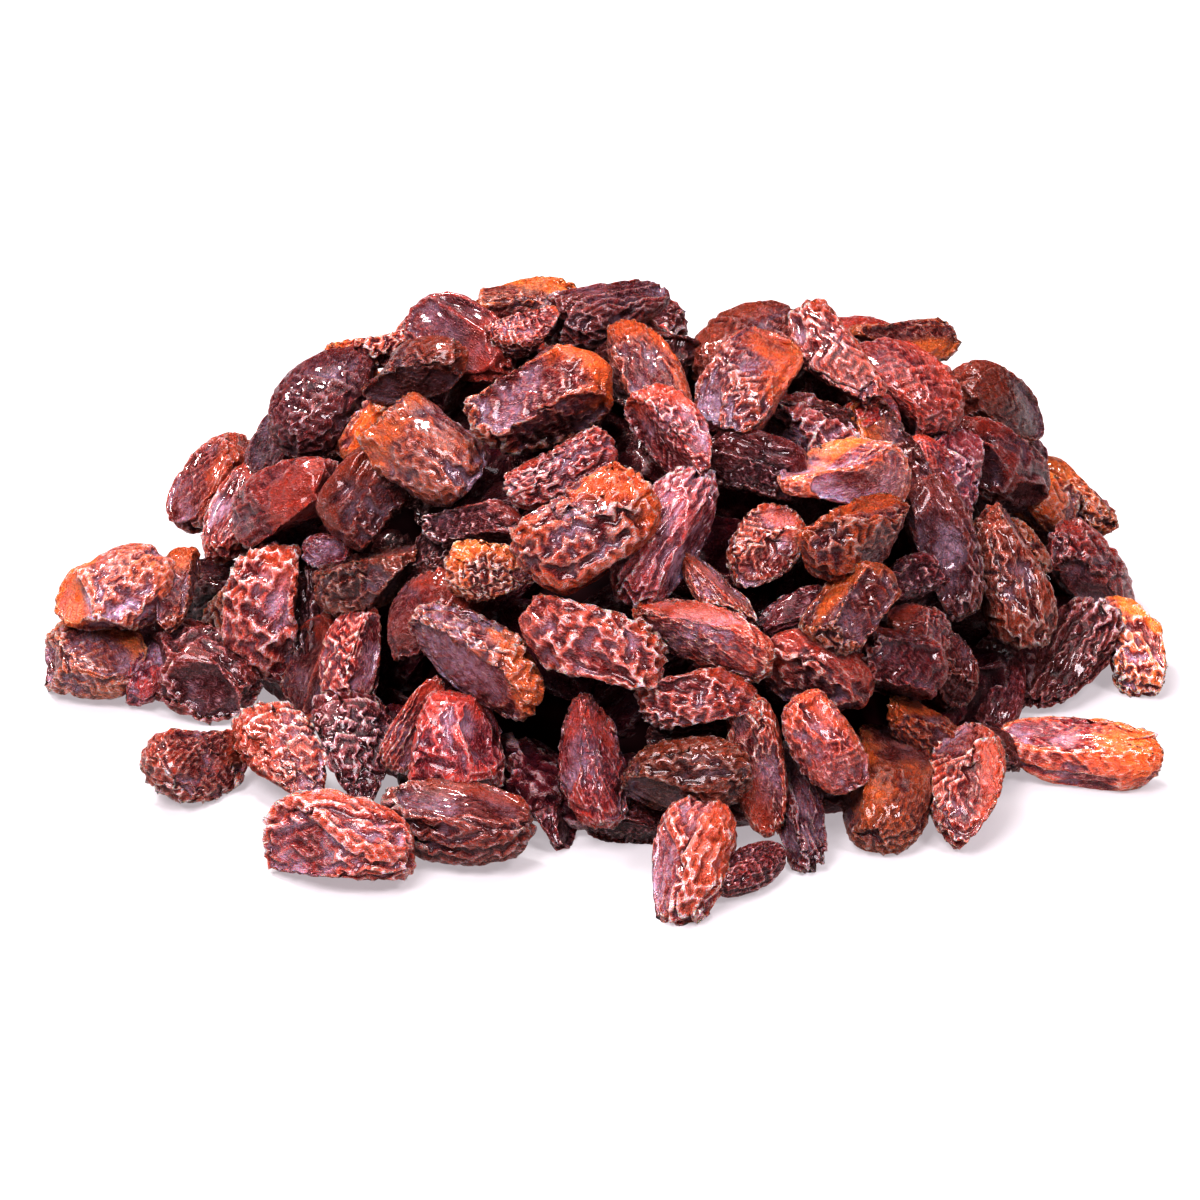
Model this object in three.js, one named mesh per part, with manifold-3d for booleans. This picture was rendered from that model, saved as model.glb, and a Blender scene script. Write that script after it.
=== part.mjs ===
// A heap of raisins as it lies on a flat surface: a low core with the raisins that show fused on.
// Millimetres, +Z up, +X to the right and +Y away from the front. The origin is on the surface,
// under the middle of the heap.
import * as THREE from 'three';
import { mergeVertices } from 'three/addons/utils/BufferGeometryUtils.js';
import Module from 'manifold-3d';

// The heap: how far the outer raisins' middles reach from its middle, every 30 degrees from the
// right by way of the back, and how high they lie.
const REACHES = [56, 60, 58, 54, 54, 56, 55, 45, 52, 52, 54, 49];
const HEAP_HEIGHT = 45.5;
const CROWN_POWER = 2.6;
const FLANK_POWER = 0.85;

// The dip in the crown: where its middle is, how far it spreads and what share of the height it
// takes off.
const DIP_X = 10;
const DIP_Y = 24;
const DIP_ACROSS = 12;
const DIP_BACK = 22;
const DIP_SHARE = 0.25;

// The core under the outer raisins.
const CORE_INSET = 3.2;
const CORE_SIDES = 24;
const CORE_RINGS = 5;

// One raisin: the usual half sizes, and how much thinner than wide it is.
const HALF_LONG = 7.2;
const HALF_WIDE = 4.9;
const LONG_SPREAD = 1.6;
const WIDE_SPREAD = 0.9;
const FLATNESS = 0.82;
const HALF_LONG_MAX = 9.8;
const LEAST_OVER_WIDE = 1.02;
const FULLNESS = 2.4;
const PLUMP = 1.06;
const RINGS = 3;
const SIDES = 7;
const FILL_SIDES = 6;
const WRINKLE = 0.07;
const TWIST = 0.35;
const SWELL = 1.1;

// How a raisin lies: how far it may slant away from the eye, and how much its flat side follows
// what it lies on rather than the eye.
const SLANT_MAX = 1;
const FOLLOW_HEAP = 0.5;
const FOLLOW_FLOOR = 0.75;

// How the raisins share the room: the least distance of a filler, and how tightly all are packed.
const FILL_CANDIDATES = 1500;
const FILL_DISTANCE = 10;
const FILL_SINK = 3.5;
const FILL_TILT = 0.5;
const FACES_AWAY = 0.1;
const EASE_ROUNDS = 60;
const EASE_STEP = 1.2;
const HOME_PULL = 0.08;
const TIGHTNESS = 0.9;
const CONTACT = 0.94;
const SINK_STEP = 0.3;
const SEARCH = 90;
const SEARCH_STEP = 0.25;
const SLOPE_STEP = 0.5;
const WELD = 1e-4;
const SEED = 7;
const CLUMP_HEIGHT = 12.5;
const GROUND_BITE = 0.97;

// The view that the list below is read in: 24 degrees above the surface, 560 mm from the heap,
// in a square of 1200 pixels, with the origin at (ORIGIN_U, ORIGIN_V).
const ELEVATION = THREE.MathUtils.degToRad(24);
const DISTANCE = 560;
const PX_PER_MM = 8.1;
const FOCAL_PX = PX_PER_MM * DISTANCE;
const CENTRE_PX = 600;
const ORIGIN_U = 640;
const ORIGIN_V = 664;

// What a raisin of the list lies on: the surface, the top of the small clump on the left, or,
// where a number stands, the heap, at that many millimetres above its mean face.
const FLOOR = 'floor';
const CLUMP = 'clump';

// Each raisin that shows from the front: where its middle is, its length and width in pixels,
// the turn of its length from the right in degrees, and what it lies on.
const LEFT_CLUMP = [
  [88, 660, 104, 84, -12, FLOOR], [118, 592, 112, 86, 38, CLUMP], [175, 590, 84, 46, 68, CLUMP],
  [192, 670, 100, 90, -25, FLOOR], [150, 662, 84, 56, 80, FLOOR],
];
const LEFT_FLANK = [
  [270, 610, 134, 90, 72, 0], [221, 480, 150, 78, 58, 0], [240, 510, 150, 60, 66, -3],
  [280, 452, 95, 60, 52, 0], [325, 400, 132, 88, 60, 1], [368, 348, 80, 50, 8, 0],
  [412, 368, 95, 58, 5, 2], [290, 502, 95, 78, 18, 1], [370, 495, 108, 85, 55, 0],
  [211, 590, 92, 72, 20, 0],
];
const CROWN = [
  [422, 450, 152, 86, -35, 4], [540, 400, 148, 90, 12, 4], [462, 343, 100, 78, -28, 0],
  [525, 303, 104, 58, 8, -1], [526, 330, 72, 52, 20, 1], [606, 312, 118, 74, 22, 2],
  [645, 368, 96, 62, -66, 0], [677, 433, 108, 60, -52, 3], [561, 470, 116, 58, 22, 0],
  [587, 528, 142, 102, 42, 4], [665, 532, 165, 76, 60, 1], [746, 382, 116, 80, 52, 3],
  [745, 350, 155, 92, 40, -2], [832, 360, 112, 68, -62, 2], [908, 388, 112, 88, -50, 0],
  [898, 345, 100, 60, 0, -2],
];
const RIGHT_FLANK = [
  [996, 405, 96, 66, -25, 0], [1020, 448, 60, 42, -30, -3], [1000, 468, 110, 72, -32, 1],
  [1052, 508, 118, 66, -38, 1], [1072, 495, 88, 56, -42, -2], [1090, 572, 108, 76, -42, 0],
  [1012, 576, 146, 80, -80, 2], [945, 548, 140, 72, -74, 2], [848, 472, 142, 80, 4, 3],
  [860, 536, 125, 84, 6, 3], [765, 548, 92, 68, 58, -4], [850, 610, 92, 74, 35, 1],
  [800, 612, 84, 46, 14, -2], [818, 675, 112, 76, -30, 0], [893, 660, 94, 78, -35, 2],
  [920, 626, 60, 46, -20, -1], [948, 668, 82, 52, -72, 0],
];
const FOOT = [
  [995, 684, 90, 58, 80, FLOOR], [1068, 655, 140, 80, 48, FLOOR], [1134, 644, 94, 62, -74, FLOOR],
  [1081, 752, 158, 70, -6, FLOOR], [194, 760, 94, 80, 22, FLOOR], [278, 756, 122, 76, -52, FLOOR],
  [357, 744, 112, 78, -76, FLOOR], [332, 842, 150, 100, -4, FLOOR], [454, 828, 146, 88, -8, FLOOR],
];
const FRONT = [
  [455, 762, 132, 96, 82, 2], [416, 726, 104, 42, 60, -2], [368, 580, 98, 70, 14, 1],
  [352, 655, 96, 66, 82, 1], [488, 573, 90, 60, -4, 1], [475, 524, 98, 50, -4, -4],
  [478, 656, 148, 80, -36, 3], [593, 644, 152, 84, -26, 2], [705, 634, 148, 64, -23, 3],
  [716, 590, 92, 46, -58, -2], [590, 762, 134, 66, -80, 2], [696, 698, 118, 62, 0, 1],
  [698, 732, 100, 40, 4, -3], [686, 776, 126, 76, 8, 3], [692, 862, 114, 82, 66, FLOOR],
  [757, 765, 138, 56, -80, 1], [804, 815, 140, 52, -80, FLOOR], [752, 876, 72, 46, 30, FLOOR],
  [823, 744, 106, 66, -60, 2], [888, 785, 138, 90, 80, FLOOR], [926, 732, 90, 52, -42, -1],
  [966, 785, 118, 74, 82, FLOOR], [545, 796, 96, 60, -62, FLOOR], [626, 818, 74, 52, 0, FLOOR],
];
// One that hardly shows, behind the foot on the right: the long raisin lying there touches it.
const HIDDEN = [[968, 758, 104, 60, 0, FLOOR]];
const LISTED = [...LEFT_CLUMP, ...LEFT_FLANK, ...CROWN, ...RIGHT_FLANK, ...FOOT, ...FRONT, ...HIDDEN];

const UP = new THREE.Vector3(0, 0, 1);
const RIGHT = new THREE.Vector3(1, 0, 0);
const CLUMP_TOP = new THREE.Vector3(-0.2, -0.5, 1).normalize();
const SKEW = new THREE.Vector3(0.3, 1, 0.2);
const LOOK = new THREE.Vector3(0, Math.cos(ELEVATION), -Math.sin(ELEVATION));
const PICTURE_UP = new THREE.Vector3().crossVectors(RIGHT, LOOK);

// The line of sight through a pixel, as a step that goes 1 mm deeper into the picture.
function sightLine(u, v) {
  return LOOK.clone()
    .addScaledVector(RIGHT, (u - CENTRE_PX) / FOCAL_PX)
    .addScaledVector(PICTURE_UP, (CENTRE_PX - v) / FOCAL_PX);
}

const EYE = sightLine(ORIGIN_U, ORIGIN_V).multiplyScalar(-DISTANCE);

// How far the outer raisins' middles reach at an angle, eased from one of the reaches to the next.
function reachAt(angle) {
  const turn = ((angle / (2 * Math.PI) + 1) % 1) * REACHES.length;
  const from = Math.floor(turn) % REACHES.length;
  const to = (from + 1) % REACHES.length;
  return THREE.MathUtils.lerp(REACHES[from], REACHES[to], (1 - Math.cos(Math.PI * (turn % 1))) / 2);
}

// How far out a point of the surface is, 0 in the middle and 1 at the heap's edge.
function outness(x, y, inset = 0) {
  return Math.hypot(x, y) / (reachAt(Math.atan2(y, x)) - inset);
}

// The height of the outer raisins' middles over a point of the surface.
function domeHeight(x, y, inset = 0) {
  const out = outness(x, y, inset);
  if (out >= 1) return 0;
  const dip = DIP_SHARE * Math.exp(-(((x - DIP_X) / DIP_ACROSS) ** 2) - ((y - DIP_Y) / DIP_BACK) ** 2);
  return (HEAP_HEIGHT - inset) * (1 - dip) * (1 - out ** CROWN_POWER) ** FLANK_POWER;
}

function domeNormal(x, y) {
  const slopeX = (domeHeight(x + SLOPE_STEP, y) - domeHeight(x - SLOPE_STEP, y)) / (2 * SLOPE_STEP);
  const slopeY = (domeHeight(x, y + SLOPE_STEP) - domeHeight(x, y - SLOPE_STEP)) / (2 * SLOPE_STEP);
  return new THREE.Vector3(-slopeX, -slopeY, 1).normalize();
}

// How far a point lies off the dome, or off the core with its inset, and which way it leaves it.
function offDome(p, inset = 0) {
  const out = outness(p.x, p.y, inset);
  if (out < 1) {
    const leaves = domeNormal(p.x, p.y);
    return { gap: (p.z - domeHeight(p.x, p.y, inset)) * leaves.z, leaves };
  }
  const leaves = new THREE.Vector3(p.x * (1 - 1 / out), p.y * (1 - 1 / out), Math.max(p.z, 0));
  return { gap: leaves.length(), leaves: leaves.normalize() };
}

// Where a line of sight meets the dome, or else the point where it passes closest to it.
function onDome(u, v) {
  const line = sightLine(u, v);
  let found = null;
  for (let depth = DISTANCE - SEARCH; depth < DISTANCE + SEARCH; depth += SEARCH_STEP) {
    const at = EYE.clone().addScaledVector(line, depth);
    const { gap, leaves } = offDome(at);
    if (found === null || gap < found.gap) found = { at, gap, normal: leaves };
    if (gap <= 0) break;
  }
  return found;
}

// Where a line of sight comes down to a height.
function atHeight(u, v, height) {
  const line = sightLine(u, v);
  return EYE.clone().addScaledVector(line, (height - EYE.z) / line.z);
}

// How far a raisin reaches down from its middle.
function drop(piece) {
  const { axes, half } = piece;
  return Math.hypot(axes[0].z * half[0], axes[1].z * half[1], axes[2].z * half[2]);
}

// Puts a raisin of the list where it shows: on the surface, on the clump or on the heap.
function placeListed([u, v, long, wide, turn, lies]) {
  const onHeap = typeof lies === 'number';
  let at = atHeight(u, v, lies === CLUMP ? CLUMP_HEIGHT : (wide / PX_PER_MM) * FLATNESS / 2);
  let normal = lies === CLUMP ? CLUMP_TOP : UP;
  if (onHeap) {
    ({ at, normal } = onDome(u, v));
    at.addScaledVector(sightLine(u, v), -lies);
  }
  const angle = THREE.MathUtils.degToRad(turn);
  const along = RIGHT.clone().multiplyScalar(Math.cos(angle)).addScaledVector(PICTURE_UP, Math.sin(angle));
  const slant = THREE.MathUtils.clamp(-along.dot(normal) / LOOK.dot(normal), -SLANT_MAX, SLANT_MAX);
  along.addScaledVector(LOOK, slant).normalize();
  const follow = onHeap ? FOLLOW_HEAP : FOLLOW_FLOOR;
  const flat = normal.clone().multiplyScalar(follow).addScaledVector(LOOK, follow - 1);
  flat.addScaledVector(along, -flat.dot(along)).normalize();
  const mmPerPx = at.clone().sub(EYE).dot(LOOK) / FOCAL_PX;
  const halfWide = wide * mmPerPx * PLUMP / 2;
  const halfLong = Math.min(long * mmPerPx * PLUMP / 2 * Math.hypot(1, slant), HALF_LONG_MAX);
  const piece = {
    at,
    axes: [along, new THREE.Vector3().crossVectors(flat, along), flat],
    half: [Math.max(halfLong, halfWide * LEAST_OVER_WIDE), halfWide, halfWide * FLATNESS],
    line: sightLine(u, v),
    fixed: lies === FLOOR,
  };
  if (piece.fixed) piece.at = atHeight(u, v, drop(piece) * GROUND_BITE);
  return piece;
}

// A repeatable stream of random numbers from 0 to 1.
function makeDraw(seed) {
  let state = seed >>> 0;
  return () => {
    state = (state + 0x6d2b79f5) >>> 0;
    let t = state;
    t = Math.imul(t ^ (t >>> 15), t | 1);
    t ^= t + Math.imul(t ^ (t >>> 7), t | 61);
    return ((t ^ (t >>> 14)) >>> 0) / 4294967296;
  };
}

// Raisins all over the dome, wherever the others leave room. Those that could cover one of the
// list from the front lie a little deeper.
function placeFillers(others) {
  const draw = makeDraw(SEED);
  const goldenAngle = Math.PI * (3 - Math.sqrt(5));
  const pieces = [...others];
  for (let i = 0; i < FILL_CANDIDATES; i += 1) {
    const angle = (i * goldenAngle) % (2 * Math.PI);
    const out = Math.sqrt((i + 0.5) / FILL_CANDIDATES) * reachAt(angle);
    const x = out * Math.cos(angle);
    const y = out * Math.sin(angle);
    const halfLong = HALF_LONG + LONG_SPREAD * (draw() * 2 - 1);
    const halfWide = HALF_WIDE + WIDE_SPREAD * (draw() * 2 - 1);
    const spin = draw() * Math.PI;
    const tilt = (draw() * 2 - 1) * FILL_TILT;
    const normal = domeNormal(x, y);
    const at = new THREE.Vector3(x, y, domeHeight(x, y));
    if (LOOK.dot(normal) < FACES_AWAY) at.addScaledVector(normal, -FILL_SINK);
    at.z = Math.max(at.z, halfWide * FLATNESS);
    if (pieces.some((other) => other.at.distanceTo(at) < FILL_DISTANCE)) continue;
    const across = new THREE.Vector3().crossVectors(normal, SKEW).normalize();
    const along = across.clone().multiplyScalar(Math.cos(spin))
      .addScaledVector(new THREE.Vector3().crossVectors(normal, across), Math.sin(spin))
      .addScaledVector(normal, tilt).normalize();
    const flat = normal.clone().addScaledVector(along, -normal.dot(along)).normalize();
    pieces.push({
      at,
      axes: [along, new THREE.Vector3().crossVectors(flat, along), flat],
      half: [halfLong, halfWide, halfWide * FLATNESS],
      line: null,
      fixed: false,
    });
  }
  return pieces;
}

// How far a raisin reaches from its middle in a direction.
function reach(piece, toward) {
  return 1 / Math.hypot(...piece.axes.map((axis, k) => axis.dot(toward) / piece.half[k]));
}

// Eases the raisins apart. One of the list only moves along its line of sight.
function ease(pieces) {
  pieces.forEach((piece) => { piece.home = piece.at.clone(); });
  for (let round = 0; round < EASE_ROUNDS; round += 1) {
    const moves = pieces.map(() => new THREE.Vector3());
    pieces.forEach((a, i) => {
      for (let j = i + 1; j < pieces.length; j += 1) {
        const b = pieces[j];
        const toward = b.at.clone().sub(a.at);
        const distance = toward.length();
        if (distance > 4 * HALF_LONG_MAX || distance === 0) continue;
        toward.divideScalar(distance);
        const over = (reach(a, toward) + reach(b, toward)) * TIGHTNESS - distance;
        if (over <= 0) continue;
        moves[i].addScaledVector(toward, -over / 4);
        moves[j].addScaledVector(toward, over / 4);
      }
    });
    pieces.forEach((piece, i) => {
      if (piece.fixed) return;
      const wanted = moves[i].addScaledVector(piece.home.clone().sub(piece.at), HOME_PULL);
      const move = piece.line ? piece.line.clone().multiplyScalar(wanted.dot(piece.line)) : wanted;
      piece.at.add(move.clampLength(0, EASE_STEP));
      const sunk = drop(piece) - piece.at.z;
      if (sunk > 0 && piece.line) piece.at.addScaledVector(piece.line, sunk / piece.line.z);
      if (sunk > 0 && !piece.line) piece.at.z += sunk;
    });
  }
  return pieces;
}

function touchesCore(piece) {
  const { gap, leaves } = offDome(piece.at, CORE_INSET);
  return gap < reach(piece, leaves) * CONTACT;
}

function touches(a, b) {
  const toward = b.at.clone().sub(a.at);
  const distance = toward.length();
  toward.normalize();
  return distance < (reach(a, toward) + reach(b, toward)) * CONTACT;
}

// Lets every raisin that nothing holds sink until it rests on the core or on one that is held.
function settle(pieces) {
  const held = [];
  let loose = pieces;
  while (loose.length > 0) {
    const landed = loose.filter(
      (piece) => touchesCore(piece) || held.some((other) => touches(piece, other)),
    );
    held.push(...landed);
    loose = loose.filter((piece) => !landed.includes(piece));
    if (landed.length > 0) continue;
    loose.forEach((piece) => {
      const { at } = piece;
      const lowest = drop(piece) * GROUND_BITE;
      const inward = new THREE.Vector3(-at.x, -at.y, 0).normalize();
      const way = at.z <= lowest ? inward : piece.line ?? domeNormal(at.x, at.y).negate();
      at.addScaledVector(way, SINK_STEP);
      at.z = Math.max(at.z, lowest);
    });
  }
  return pieces;
}

// A raisin with few sides: rings round its length, with ridges that run along it. It is swollen,
// so that its flat faces lie where the real skin does.
function raisinGeometry({ at, axes, half, line }, index) {
  const flip = index % 2 ? 1 : -1;
  const sides = line ? SIDES : FILL_SIDES;
  const points = [];
  for (let ring = 0; ring <= RINGS + 1; ring += 1) {
    const along = -Math.cos((ring / (RINGS + 1)) * Math.PI);
    const girth = (1 - Math.abs(along) ** FULLNESS) ** (1 / FULLNESS);
    for (let side = 0; side < sides; side += 1) {
      const angle = (side / sides) * 2 * Math.PI + TWIST * flip * along + index;
      const ridge = 1 + WRINKLE * (side % 2 ? 1 : -1) + WRINKLE * Math.sin(3 * angle + index);
      const wide = SWELL * girth * ridge;
      const point = at.clone()
        .addScaledVector(axes[0], along * half[0])
        .addScaledVector(axes[1], Math.cos(angle) * wide * half[1])
        .addScaledVector(axes[2], Math.sin(angle) * wide * half[2]);
      points.push(point);
    }
  }
  return ringsGeometry(points, sides);
}

// The skin round rings of points, where the first and the last ring are each one point.
function ringsGeometry(points, sides) {
  const rings = points.length / sides;
  const faces = [];
  for (let ring = 0; ring < rings - 1; ring += 1) {
    for (let side = 0; side < sides; side += 1) {
      const next = (side + 1) % sides;
      const a = ring * sides + side;
      const b = ring * sides + next;
      if (ring > 0) faces.push(a, b, a + sides);
      if (ring < rings - 2) faces.push(b, b + sides, a + sides);
    }
  }
  const geometry = new THREE.BufferGeometry();
  const places = points.flatMap((p) => p.toArray());
  geometry.setAttribute('position', new THREE.Float32BufferAttribute(places, 3));
  geometry.setIndex(faces);
  return mergeVertices(geometry, WELD);
}

// The core: the dome made smaller all over, closed by the surface it stands on.
function coreGeometry() {
  const points = [];
  for (let ring = 0; ring <= CORE_RINGS; ring += 1) {
    for (let side = 0; side < CORE_SIDES; side += 1) {
      const angle = -(side / CORE_SIDES) * 2 * Math.PI;
      const out = Math.sin((ring / CORE_RINGS) * Math.PI / 2) * (reachAt(angle) - CORE_INSET);
      const x = out * Math.cos(angle);
      const y = out * Math.sin(angle);
      const height = ring < CORE_RINGS ? domeHeight(x, y, CORE_INSET) : 0;
      points.push(new THREE.Vector3(x, y, height));
    }
  }
  for (let side = 0; side < CORE_SIDES; side += 1) points.push(new THREE.Vector3(0, 0, 0));
  return ringsGeometry(points, CORE_SIDES);
}

function toSolid(wasm, geometry) {
  return new wasm.Manifold(new wasm.Mesh({
    numProp: 3,
    vertProperties: new Float32Array(geometry.attributes.position.array),
    triVerts: new Uint32Array(geometry.index.array),
  }));
}

// The largest closed shell of a mesh. What joining sealed inside, and loose scraps, are left out.
function outerShell(mesh) {
  const { vertProperties, triVerts, numProp } = mesh;
  const point = (i) => new THREE.Vector3().fromArray(vertProperties, i * numProp);
  const parent = Array.from({ length: vertProperties.length / numProp }, (_, i) => i);
  const root = (i) => {
    let top = i;
    while (parent[top] !== top) top = parent[top];
    parent[i] = top;
    return top;
  };
  for (let t = 0; t < triVerts.length; t += 3) {
    parent[root(triVerts[t])] = root(triVerts[t + 1]);
    parent[root(triVerts[t + 1])] = root(triVerts[t + 2]);
  }
  const shells = new Map();
  for (let t = 0; t < triVerts.length; t += 3) {
    const key = root(triVerts[t]);
    const shell = shells.get(key) ?? { volume: 0, faces: [] };
    const [a, b, c] = [point(triVerts[t]), point(triVerts[t + 1]), point(triVerts[t + 2])];
    shell.volume += a.dot(b.cross(c)) / 6;
    shell.faces.push(triVerts[t], triVerts[t + 1], triVerts[t + 2]);
    shells.set(key, shell);
  }
  const largest = [...shells.values()].reduce((a, b) => (a.volume > b.volume ? a : b));
  const geometry = new THREE.BufferGeometry();
  geometry.setAttribute('position', new THREE.Float32BufferAttribute(
    largest.faces.flatMap((i) => point(i).toArray()), 3));
  return mergeVertices(geometry, WELD);
}

// Everything above the surface that the heap lies on.
function aboveSurface() {
  const size = 400;
  const box = new THREE.BoxGeometry(size, size, size).translate(0, 0, size / 2);
  box.deleteAttribute('normal');
  box.deleteAttribute('uv');
  return mergeVertices(box);
}

async function makeHeap() {
  const wasm = await Module();
  wasm.setup();
  const pieces = settle(ease(placeFillers(LISTED.map(placeListed))));
  let heap = toSolid(wasm, coreGeometry());
  pieces.forEach((piece, index) => {
    heap = heap.add(toSolid(wasm, raisinGeometry(piece, index)));
  });
  heap = heap.intersect(toSolid(wasm, aboveSurface()));
  return outerShell(heap.getMesh());
}

const raisins = new THREE.Mesh(
  await makeHeap(),
  new THREE.MeshStandardMaterial({ color: 0x5a1c14, roughness: 0.35, metalness: 0 }),
);
raisins.name = 'raisins';

const heap = new THREE.Group();
heap.add(raisins);

export default heap;
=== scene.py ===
"""A heap of raisins on a pale surface, as it shows in the photo.

The raisins are placed in millimetres by the same rules as the CAD heap, and each one is a dried
grape: its skin keeps its size while the flesh shrinks, so it folds into dents, rims and wrinkles.
"""

import math

import bmesh
import bpy
import numpy as np
from mathutils import Matrix, Vector
from numpy.linalg import norm


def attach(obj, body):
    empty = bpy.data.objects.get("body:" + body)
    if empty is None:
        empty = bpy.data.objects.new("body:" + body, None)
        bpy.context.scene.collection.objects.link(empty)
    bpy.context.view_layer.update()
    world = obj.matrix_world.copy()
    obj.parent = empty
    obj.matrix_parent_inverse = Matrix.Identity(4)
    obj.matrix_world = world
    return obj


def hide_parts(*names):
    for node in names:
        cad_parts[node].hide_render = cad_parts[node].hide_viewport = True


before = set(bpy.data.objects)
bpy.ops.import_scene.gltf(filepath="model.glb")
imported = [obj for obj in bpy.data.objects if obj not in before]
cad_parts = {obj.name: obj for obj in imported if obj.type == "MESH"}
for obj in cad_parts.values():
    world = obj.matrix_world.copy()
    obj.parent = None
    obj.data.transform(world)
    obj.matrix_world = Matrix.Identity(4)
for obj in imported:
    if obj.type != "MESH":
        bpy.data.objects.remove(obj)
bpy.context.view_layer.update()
METRES = 0.001

# The heap, as in the CAD: reaches of the outer raisins' middles every 30 degrees, its height, how
# its crown and its flanks curve, how far under the outer raisins the CAD's core lies, and the dip in
# its crown: where it is, how broad each way, and what share of the height it takes.
REACHES = np.array([56, 60, 58, 54, 54, 56, 55, 45, 52, 52, 54, 49])
HEAP_HEIGHT = 45.5
CROWN_POWER = 2.6
FLANK_POWER = 0.85
CORE_INSET = 3.2
DIP_X = 10
DIP_Y = 24
DIP_ACROSS = 12
DIP_BACK = 22
DIP_SHARE = 0.25

# One raisin: the usual half sizes and how they spread, how much thinner than wide it is, the longest
# it gets, how much longer than wide at least, and how much larger than what shows of it.
HALF_LONG = 7.2
HALF_WIDE = 4.9
LONG_SPREAD = 1.6
WIDE_SPREAD = 0.9
FLATNESS = 0.82
HALF_LONG_MAX = 9.8
LEAST_OVER_WIDE = 1.02
PLUMP = 1.06

# How a raisin lies: how far it may slant away from the eye, and how much its flat side follows what
# it lies on rather than the eye.
SLANT_MAX = 1
FOLLOW_HEAP = 0.5
FOLLOW_FLOOR = 0.75

# The raisins that aren't listed: how many places are tried, how far the next raisin has to be, how
# far one sinks in, except where the heap faces this much away from the eye, and how it tilts.
FILL_PLACES = 1500
FILL_DISTANCE = 10
FILL_SINK = 3.5
FACES_AWAY = 0.1
FILL_TILT = 0.5

# Easing apart: the rounds, the share of an overlap that each takes, the longest step, the pull back
# home, and how near two raisins may be, as a share of their reach.
EASE_ROUNDS = 60
EASE_SHARE = 0.25
EASE_STEP = 1.2
HOME_PULL = 0.08
TIGHTNESS = 0.9

# Settling: how near counts as touching, the step by which a loose raisin sinks, what share of its
# lower half stays above the surface, and how high the upper raisins of the left clump start.
CONTACT = 0.94
SINK_STEP = 0.3
GROUND_BITE = 0.97
CLUMP_HEIGHT = 12.5

# The search along a line of sight: how far it goes both ways, and its step. Then the step over
# which a slope is measured, and the random seed.
SEARCH = 90
SEARCH_STEP = 0.25
SLOPE_STEP = 0.5
SEED = 7

# The layer under the outer raisins: how deep it lies and how far apart its raisins are. The ring at
# its foot: how many raisins, and how far one turns from the edge. Then how deep the core lies.
UNDER_INSET = 8.0
UNDER_DISTANCE = 8.8
FOOT_RAISINS = 30
FOOT_TURN = 0.4
CORE_DEPTH = 12.0

# The view: 24 degrees above the surface, 560 mm from the origin, in a square of 1200 pixels.
ELEVATION = math.radians(24)
DISTANCE = 560
PX_PER_MM = 8.1
FOCAL_PX = PX_PER_MM * DISTANCE
PHOTO_PX = 1200
CENTRE_PX = PHOTO_PX / 2
ORIGIN_U = 640
ORIGIN_V = 664
SENSOR_MM = 36

# What a raisin of a list lies on: the surface, the top of the small clump on the left, or, where a
# number stands, the heap, that many millimetres nearer the eye than its mean face.
FLOOR = "floor"
CLUMP = "clump"

# Each raisin that shows from the front: where its middle is, its length and width in pixels, the
# turn of its length from the right in degrees, what it lies on, its colour and how it wrinkled.
LEFT_CLUMP = [
    (88, 660, 104, 84, -12, FLOOR, "pale", "facet"), (118, 592, 112, 86, 38, CLUMP, "pale", "facet"),
    (175, 590, 84, 46, 68, CLUMP, "amber", "facet"), (192, 670, 100, 90, -25, FLOOR, "dark", "fine"),
    (150, 662, 84, 56, 80, FLOOR, "plum", "mixed"),
]
LEFT_FLANK = [
    (270, 610, 134, 90, 72, 0, "red", "mixed"), (221, 480, 150, 78, 58, 0, "red", "facet"),
    (240, 510, 150, 60, 66, -3, "red", "long"), (280, 452, 95, 60, 52, 0, "plum", "facet"),
    (325, 400, 132, 88, 60, 1, "plum", "plump"), (368, 348, 80, 50, 8, 0, "amber", "mixed"),
    (412, 368, 95, 58, 5, 2, "red", "fine"), (290, 502, 95, 78, 18, 1, "red", "fine"),
    (370, 495, 108, 85, 55, 0, "red", "mixed"), (211, 590, 92, 72, 20, 0, "dark", "long"),
]
CROWN = [
    (422, 450, 152, 86, -35, 4, "pale", "facet"), (540, 400, 148, 90, 12, 4, "amber", "mixed"),
    (462, 343, 100, 78, -28, 0, "red", "mixed"), (525, 303, 104, 58, 8, -1, "amber", "facet"),
    (526, 330, 72, 52, 20, 1, "red", "fine"), (606, 312, 118, 74, 22, 2, "plum", "long"),
    (645, 368, 96, 62, -66, 0, "amber", "facet"), (677, 433, 108, 60, -52, 3, "red", "fine"),
    (561, 470, 116, 58, 22, 0, "red", "mixed"), (587, 528, 142, 102, 42, 4, "amber", "mixed"),
    (665, 532, 165, 76, 60, 1, "plum", "long"), (746, 382, 116, 80, 52, 3, "pale", "facet"),
    (745, 350, 155, 92, 40, -2, "red", "plump"), (832, 360, 112, 68, -62, 2, "red", "fine"),
    (908, 388, 112, 88, -50, 0, "red", "plump"), (898, 345, 100, 60, 0, -2, "amber", "facet"),
]
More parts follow.
